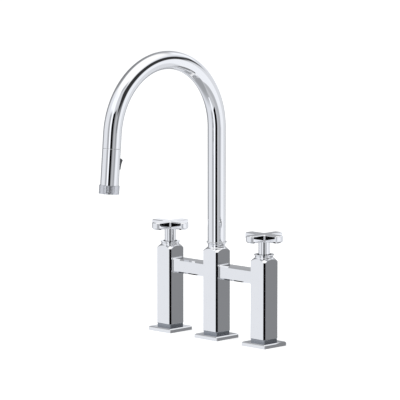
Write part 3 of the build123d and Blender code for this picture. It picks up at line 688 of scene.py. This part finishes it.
# ---- Hose ---------------------------------------------------------------------------------
# A rubber hose in a braided nylon jacket. It runs up through the middle post and the spout, and its
# last stretch comes out of the spout when the wand is pulled.
hose_radius = 0.0055
hose_bore = 0.004
tail_length = 0.012
tail_turn = tail_length / bend_radius
tail_rings = 60
braid_strands = 16
braid_pitch = 0.021


def braided(place):
    """Two sets of strands that wind round the hose in opposite ways, over and under each other."""
    round_hose = place.node("SeparateXYZ", {}, {0: place})
    across = place.node("SeparateXYZ", {}, {0: place}, output=1)
    along = place.node("SeparateXYZ", {}, {0: place}, output=2)
    winding = across.math("ARCTAN2", across, round_hose) * braid_strands
    climb = along * (2 * pi * braid_strands / braid_pitch)
    left = winding.math("SINE", winding + climb)
    right = winding.math("SINE", winding - climb)
    over = (left * right).soft_step(-0.6, 0.6)
    strands = clouds(place, 2500, detail=2)
    tone = over * 0.7 + strands * 0.3
    return {"Base Color": blend((0.10, 0.105, 0.115), (0.42, 0.43, 0.45), tone),
            "Roughness": 0.62 - 0.2 * tone, "Normal": relief(over, 0.0003)}


braid = finish_of("braided_hose", braided)
tail = begin("circle", "pull_out_hose", vertices=48, radius=hose_radius, location=(0, 0, 0))
bpy.ops.object.mode_set(mode="EDIT")
bpy.ops.mesh.select_mode(type="EDGE")
bpy.ops.mesh.select_all(action="SELECT")
bpy.ops.mesh.spin(steps=tail_rings, angle=-tail_turn, center=(0, -bend_radius, 0), axis=(1, 0, 0))
bpy.ops.mesh.select_all(action="SELECT")
bpy.ops.mesh.normals_make_consistent(inside=False)
bpy.ops.object.mode_set(mode="OBJECT")
modify(tail, "SOLIDIFY", thickness=hose_radius - hose_bore, offset=-1)
bend_center = Matrix.Translation((0, -bend_radius, bend_height))
round_bend = Matrix.Rotation(pi - lean - tail_turn, 4, "X")
tail.data.transform(bend_center @ round_bend @ Matrix.Translation((0, bend_radius, 0)))
polish(tail)
tail.data.materials.append(braid)
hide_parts("hose_tail")
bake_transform(tail)


# ---- Spray wand ---------------------------------------------------------------------------
# A chromed tube that goes on in line with the spout, with a closed roof round the neck that plugs
# into the spout's dock and a window at the back for the toggle.
wand_place = Matrix.Translation(seam) @ Matrix.Rotation(-lean, 4, "X")
shell_end = 0.0555
shell_wall = 0.0016
shell_edge = 0.0002
roof = 0.0024
seam_gap = 0.0002
seam_edge = 0.0003
neck_hole = 0.01095
window_half = 0.0068
window_top = 0.014
window_foot = 0.0319


def set_in_wand(piece):
    """Moves a piece that was made upright, with the seam at its origin, to its place in the wand."""
    piece.data.transform(wand_place)
    return piece


shell = turned("wand_tube", [
    (tube_radius, -shell_end), (tube_radius, -seam_gap - seam_edge), (tube_radius - seam_edge, -seam_gap),
    (neck_hole, -seam_gap), (neck_hole, -roof), (tube_radius - shell_wall, -roof),
    (tube_radius - shell_wall, -shell_end), (tube_radius, -shell_end)], closed=True)
cut(shell, begin("cube", "window", size=1, scale=(2 * window_half, tube_radius, window_foot - window_top),
                 location=(0, tube_radius / 2, -(window_top + window_foot) / 2)))
modify(shell, "BEVEL", width=shell_edge, segments=2, limit_method="ANGLE", angle_limit=radians(40))
polish(shell)
fit(set_in_wand(shell), "wand", "chrome", chrome, "wand_shell")


# ---- Toggle -------------------------------------------------------------------------------
# A dark soft-touch lever that changes between jet and spray. Its finger ridge stands out of the
# window, and inside it has a hub on its pin and an arm that slides the diverter.
toggle_wide = 0.013
toggle_top = 0.0148
toggle_foot = 0.0316
toggle_back = 0.0114
toggle_skin = 0.0151
toggle_edge = 0.0006
tip_depth = 0.0176
tip_reach = 0.0187
ridge_step = 0.0005
ridge_rise = 0.0008
finger_hollow = 0.0008
hollow_cuts = 7
pin_reach = 0.0098
pin_depth = 0.0294
pin_hole = 0.00081
hub_radius = 0.0022
hub_length = 0.0078
arm_start = 0.003
arm_length = toggle_back - 0.0026
arm_wide = 0.004
arm_thick = 0.003


def soft_touch(place):
    grain = clouds(place, 1800, detail=2)
    touched = clouds(place, 90, detail=3)
    return {"Base Color": blend((0.036, 0.038, 0.042), (0.060, 0.062, 0.067), touched),
            "Roughness": 0.48 + 0.16 * grain, "Normal": relief(grain, 0.00002)}


lever = begin("cube", "toggle_lever", size=1,
              scale=(toggle_wide, toggle_skin - toggle_back, toggle_foot - toggle_top),
              location=(0, (toggle_skin + toggle_back) / 2, -(toggle_foot + toggle_top) / 2))
bpy.ops.object.mode_set(mode="EDIT")
pick(lever, "faces", lambda face: face.normal.y > 0.9)
bpy.ops.mesh.extrude_region_move(TRANSFORM_OT_translate={"value": (0, tip_reach - toggle_skin, 0)})
pick(lever, "edges", lambda edge: middle(edge).y > tip_reach - 1e-5 and middle(edge).z < -toggle_foot + 1e-5)
bpy.ops.transform.translate(value=(0, 0, toggle_foot - tip_depth))
pick(lever, "edges", lambda edge: middle(edge).y > tip_reach - 1e-5 and middle(edge).z > -toggle_top - 1e-5)
bpy.ops.transform.translate(value=(0, -ridge_step, toggle_top - tip_depth + ridge_rise))
pick(lever, "edges", lambda edge: abs(middle(edge).x) > 0.006 and -0.03 < middle(edge).z < -tip_depth - 0.002
     and middle(edge).y > toggle_skin)
bpy.ops.mesh.subdivide(number_cuts=hollow_cuts)
mesh = bmesh.from_edit_mesh(lever.data)
for corner in mesh.verts:
    share = (-corner.co.z - tip_depth) / (toggle_foot - tip_depth)
    if corner.co.y > toggle_skin + 1e-5 and 0 < share < 1:
        corner.co.y -= 4 * finger_hollow * share * (1 - share)
bmesh.update_edit_mesh(lever.data)
bpy.ops.object.mode_set(mode="OBJECT")
modify(lever, "BEVEL", width=toggle_edge, segments=3, limit_method="ANGLE", angle_limit=radians(25))
cut(lever, begin("cylinder", "hub", vertices=48, radius=hub_radius, depth=hub_length,
                 rotation=(0, pi / 2, 0), location=(0, pin_reach, -pin_depth)), "UNION")
cut(lever, begin("cube", "arm", size=1, scale=(arm_wide, arm_length, arm_thick),
                 location=(0, (toggle_back + arm_start) / 2, -pin_depth)), "UNION")
cut(lever, begin("cylinder", "pin_hole", vertices=48, radius=pin_hole, depth=0.02,
                 rotation=(0, pi / 2, 0), location=(0, pin_reach, -pin_depth)))
polish(lever)
fit(set_in_wand(lever), "toggle", "grey_plastic", finish_of("soft_touch_plastic", soft_touch), "toggle")


# ---- Knurled ring -------------------------------------------------------------------------
# The ring that holds the spray face is turned, cut with a diamond knurl between two plain lips for
# wet fingers, screwed into the wand's tube and chromed with it.
ring_length = 0.0132
ring_lip = 0.0016
ring_valley = 0.0153
ring_crest = 0.0154
ring_bore = 0.0116
ring_edge = 0.0004
collar_height = 0.005
thread_gap = 0.00003
knurl_step = 0.0006
knurl_columns = 56
knurl_rows = 6
ring_foot = -shell_end - ring_length
knurl_foot = ring_foot + ring_lip
knurl_top = -shell_end - knurl_step
collar = tube_radius - shell_wall - thread_gap
level_height = (knurl_top - knurl_foot) / (2 * knurl_rows)


def knurl_painted_shade(place):
    """The plating of the knurled band is not buffed, so it is a little soft; its colour is painted shade,
    darker grey for the knurl's crevices.
    """
    plating = clouds(place, 1400, detail=3)
    # Painted shade: the band's colour is darker than the polished chrome, standing in for the shade between
    # the knurl's facets.
    return {"Base Color": blend((0.58, 0.59, 0.62), (0.80, 0.81, 0.84), plating), "Metallic": 1.0,
            "Roughness": 0.10 + 0.08 * plating}


levels = [(ring_valley, knurl_foot + level_height * level) for level in range(2 * knurl_rows + 1)]
lower_lip = [(ring_bore, ring_foot), (ring_valley - ring_edge, ring_foot),
             (ring_valley, ring_foot + ring_edge)]
inner_collar = [(ring_valley, -shell_end), (collar, -shell_end), (collar, -shell_end + collar_height),
                (ring_bore, -shell_end + collar_height), (ring_bore, ring_foot)]
ring = turned("knurled_spray_ring", lower_lip + levels + inner_collar, sides=2 * knurl_columns, closed=True)
bpy.ops.object.mode_set(mode="EDIT")


def crest(corner):
    """True at every second grid point of the knurled band, row by row in turn."""
    level = (corner.co.z - knurl_foot) / level_height
    column = Vector((1, 0)).angle_signed(corner.co.xy) / pi * knurl_columns
    in_band = corner.co.xy.length > ring_valley - 1e-5 and -0.1 < level < 2 * knurl_rows + 0.1
    return in_band and (round(level) + round(column)) % 2 == 0


pick(ring, "verts", crest)
raised = ring_crest / ring_valley
bpy.ops.transform.resize(value=(raised, raised, 1), center_override=(0, 0, 0))
pick(ring, "faces", lambda face: middle(face).xy.length > ring_valley - 0.0001
     and knurl_foot < middle(face).z < knurl_top)
bpy.ops.mesh.quads_convert_to_tris(quad_method="SHORTEST_DIAGONAL")
bpy.ops.object.mode_set(mode="OBJECT")
polish(ring, 4)
fit(set_in_wand(ring), "wand", "chrome", finish_of("knurled_chrome", knurl_painted_shade), "knurled_ring")


# ---- Spray face ---------------------------------------------------------------------------
# Soft grey silicone with a ring of nozzles that can be rubbed clean, round a black aerator whose
# mouth is closed by a fine lattice.
def silicone(place):
    dust = clouds(place, 700, detail=3)
    return {"Base Color": blend((0.13, 0.13, 0.14), (0.19, 0.19, 0.20), dust), "Roughness": 0.55 + 0.2 * dust,
            "Normal": relief(dust, 0.00002)}


def moulded_black(place):
    grain = clouds(place, 1500)
    return {"Base Color": blend((0.020, 0.020, 0.022), (0.038, 0.038, 0.041), grain),
            "Roughness": 0.36 + 0.2 * grain, "Normal": relief(grain, 0.00002)}


black_plastic = finish_of("moulded_black_plastic", moulded_black)
face_foot = ring_foot + 0.0008
face_top = face_foot + 0.003
aerator_radius = 0.0054
aerator_bore = 0.0042
aerator_top = face_foot + 0.009
face_gap = 0.00005
flange = ring_bore - face_gap
mouth_edge = 0.0003
inlet_lip = 0.002
inlet_thick = 0.0015
lattice = 0.00035
lattice_at = face_foot + 0.0012
lattice_margin = 0.0005
lattice_seat = 0.0002

core = turned("aerator_core", [
    (aerator_bore, face_foot), (aerator_radius - mouth_edge, face_foot),
    (aerator_radius, face_foot + mouth_edge), (aerator_radius, face_top + face_gap),
    (flange, face_top + face_gap), (flange, aerator_top), (aerator_bore - inlet_lip, aerator_top),
    (aerator_bore - inlet_lip, aerator_top - inlet_thick), (aerator_bore, aerator_top - inlet_thick),
    (aerator_bore, face_foot)], sides=96, closed=True)
polish(core)
fit(set_in_wand(core), "wand", "black_plastic", black_plastic, "aerator")
screen = begin("grid", "aerator_lattice", x_subdivisions=9, y_subdivisions=9,
               size=2 * (aerator_bore + lattice_margin), location=(0, 0, lattice_at))
modify(screen, "WIREFRAME", thickness=lattice, use_boundary=True)
cut(screen, begin("cylinder", "mouth", vertices=96, radius=aerator_bore + lattice_seat, depth=0.004,
                  location=(0, 0, lattice_at)), "INTERSECT")
polish(screen)
fit(set_in_wand(screen), "wand", "black_plastic", black_plastic)


# ---- Shanks and nuts ----------------------------------------------------------------------
# Threaded brass tubes screwed up into the posts. Below the counter a gasket, a washer and a brass
# hexagon nut are drawn up on each of them to clamp the faucet.
def machined_brass(place):
    height = place.node("SeparateXYZ", {}, {0: place}, output=2)
    tool_marks = height.math("SINE", height * 9000) * 0.5 + 0.5
    handled = clouds(place, 120, detail=4)
    return {"Base Color": blend((0.62, 0.45, 0.20), (0.76, 0.60, 0.32), handled), "Metallic": 1.0,
            "Roughness": 0.20 + 0.16 * handled + 0.05 * tool_marks}


brass = finish_of("machined_brass", machined_brass)
shank_bevel = 0.001
relief_depth = 0.0009
relief_width = 0.0014
skin = 0.00002
side_pitch = 0.001814
side_thread_depth = 0.001
side_bore = 0.0075
middle_pitch = 0.0015
middle_thread_depth = 0.0009
middle_bore = 0.0118
connector_thread = 0.0165
thread_steps = 24
nut_bevel = 0.0014
nut_flat_edge = 0.0003
nut_edge = 0.0002
middle_nut_flats = 0.038
middle_nut_bore = 0.01323
side_nut_flats = 0.030
side_nut_bore = 0.01051


def threaded(name, node, place, pitch, depth, bore, relief_at=None):
    """A thread wound up as one ridge with the Screw modifier, then trimmed to a turned blank."""
    low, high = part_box(node)
    radius = (high.x - low.x) / 2
    thread = begin("plane", "thread", size=pitch, location=(radius - depth, 0, low.z - 2 * pitch))
    bpy.ops.object.mode_set(mode="EDIT")
    bpy.ops.mesh.select_mode(type="VERT")
    bpy.ops.mesh.select_all(action="SELECT")
    bpy.ops.mesh.merge(type="CENTER")
    bpy.ops.mesh.extrude_region_move(TRANSFORM_OT_translate={"value": (depth, 0, pitch / 2)})
    bpy.ops.mesh.extrude_region_move(TRANSFORM_OT_translate={"value": (-depth, 0, pitch / 2)})
    bpy.ops.object.mode_set(mode="OBJECT")
    turns = int((high.z - low.z) / pitch) + 4
    modify(thread, "SCREW", axis="Z", screw_offset=pitch, iterations=turns, steps=thread_steps,
           render_steps=thread_steps)
    modify(thread, "WELD", merge_threshold=1e-6)
    bpy.ops.object.mode_set(mode="EDIT")
    for end, side in ((low.z - pitch / 2, -1), (high.z + pitch / 2, 1)):
        bpy.ops.mesh.select_all(action="SELECT")
        bpy.ops.mesh.bisect(plane_co=(0, 0, end), plane_no=(0, 0, side), use_fill=True, clear_outer=True)
    bpy.ops.mesh.select_all(action="SELECT")
    bpy.ops.mesh.normals_make_consistent(inside=False)
    bpy.ops.object.mode_set(mode="OBJECT")
    outline = [(bore, low.z), (radius - shank_bevel, low.z), (radius, low.z + shank_bevel)]
    if relief_at:
        outline += [(radius, relief_at), (radius - relief_depth, relief_at),
                    (radius - relief_depth, relief_at + relief_width), (radius, relief_at + relief_width)]
    outline += [(radius, high.z), (bore, high.z), (bore, low.z)]
    shank = turned(name, [(size - skin if size == radius else size, at) for size, at in outline],
                   sides=96, closed=True)
    cut(shank, thread, "INTERSECT")
    polish(shank)
    shank.data.transform(place)
    return shank


def nut(name, flats, bore, low, high):
    """A hexagon with its corners turned off at both ends."""
    corner = flats / 2 / cos(pi / 6)
    face = flats / 2 - nut_flat_edge
    blank = turned(name, [
        (bore, low + nut_bevel / 2), (bore + nut_bevel / 2, low), (face, low), (corner, low + nut_bevel),
        (corner, high - nut_bevel), (face, high), (bore + nut_bevel / 2, high),
        (bore, high - nut_bevel / 2), (bore, low + nut_bevel / 2)], sides=96, closed=True)
    cut(blank, begin("cylinder", "flats", vertices=6, radius=corner, depth=0.1, rotation=(0, 0, pi / 6),
                     location=(0, 0, (low + high) / 2)), "INTERSECT")
    modify(blank, "BEVEL", width=nut_edge, segments=2, limit_method="ANGLE", angle_limit=radians(20))
    polish(blank)
    return blank


relief_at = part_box("hot_shank")[0].z + shank_bevel + connector_thread
for side, place in side_place.items():
    shank = threaded(side + "_threaded_shank", side + "_shank", place, side_pitch, side_thread_depth,
                     side_bore, relief_at)
    fit(shank, "root", "brass", brass, side + "_shank")
shank = threaded("middle_threaded_shank", "center_shank", Matrix(), middle_pitch, middle_thread_depth,
                 middle_bore)
fit(shank, "root", "brass", brass, "center_shank")

nut_low, nut_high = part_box("center_mounting_nut")
middle_nut = nut("middle_nut", middle_nut_flats, middle_nut_bore, nut_low.z, nut_high.z)
fit(middle_nut, "root", "brass", brass, "center_mounting_nut")
side_nut = nut("side_nuts", side_nut_flats, side_nut_bore, nut_low.z, nut_high.z)
other_nut = copied(side_nut, "other_nut", side_place["cold"])
side_nut.data.transform(side_place["hot"])
only(side_nut)
other_nut.select_set(True)
bpy.ops.object.join()
fit(side_nut, "root", "brass", brass, "side_mounting_nuts")


# ---- Seals, washers and inner pieces ------------------------------------------------------
# What the posts and the wand hold, and what clamps the faucet: rubber seals and gaskets, lapped
# ceramic discs, slip rings of bearing plastic, a nickel-plated magnet and moulded black parts.
def seal_rubber(place):
    bloom = clouds(place, 320, detail=4)
    return {"Base Color": blend((0.018, 0.018, 0.019), (0.045, 0.045, 0.046), bloom),
            "Roughness": 0.58 + 0.24 * bloom, "Normal": relief(bloom, 0.00003)}


def lapped_ceramic(place):
    lapping = clouds(place, 1200, detail=2)
    return {"Base Color": blend((0.84, 0.83, 0.79), (0.89, 0.88, 0.85), lapping),
            "Roughness": 0.10 + 0.08 * lapping}


def bearing_plastic(place):
    haze = clouds(place, 240, detail=3)
    return {"Base Color": blend((0.78, 0.78, 0.75), (0.85, 0.85, 0.83), haze),
            "Roughness": 0.34 + 0.14 * haze}


def nickel(place):
    haze = clouds(place, 300, detail=3)
    return {"Base Color": blend((0.50, 0.49, 0.46), (0.62, 0.61, 0.58), haze), "Metallic": 1.0,
            "Roughness": 0.22 + 0.12 * haze}


inner_finishes = {
    "brass": brass, "steel": steel, "braid": braid, "black_plastic": black_plastic, "chrome": chrome,
    "seal_rubber": finish_of("seal_rubber", seal_rubber),
    "ceramic": finish_of("lapped_ceramic", lapped_ceramic),
    "white_plastic": finish_of("bearing_plastic", bearing_plastic),
    "magnet": finish_of("plated_magnet", nickel), "nozzle_rubber": finish_of("grey_silicone", silicone)}
slots = {part["node"]: part["material_slot"] for part in frame["record"]["subparts"]}
for name, node in frame["nodes"].items():
    if not node.hide_render:
        node.data.materials.clear()
        node.data.materials.append(inner_finishes[slots[name]])
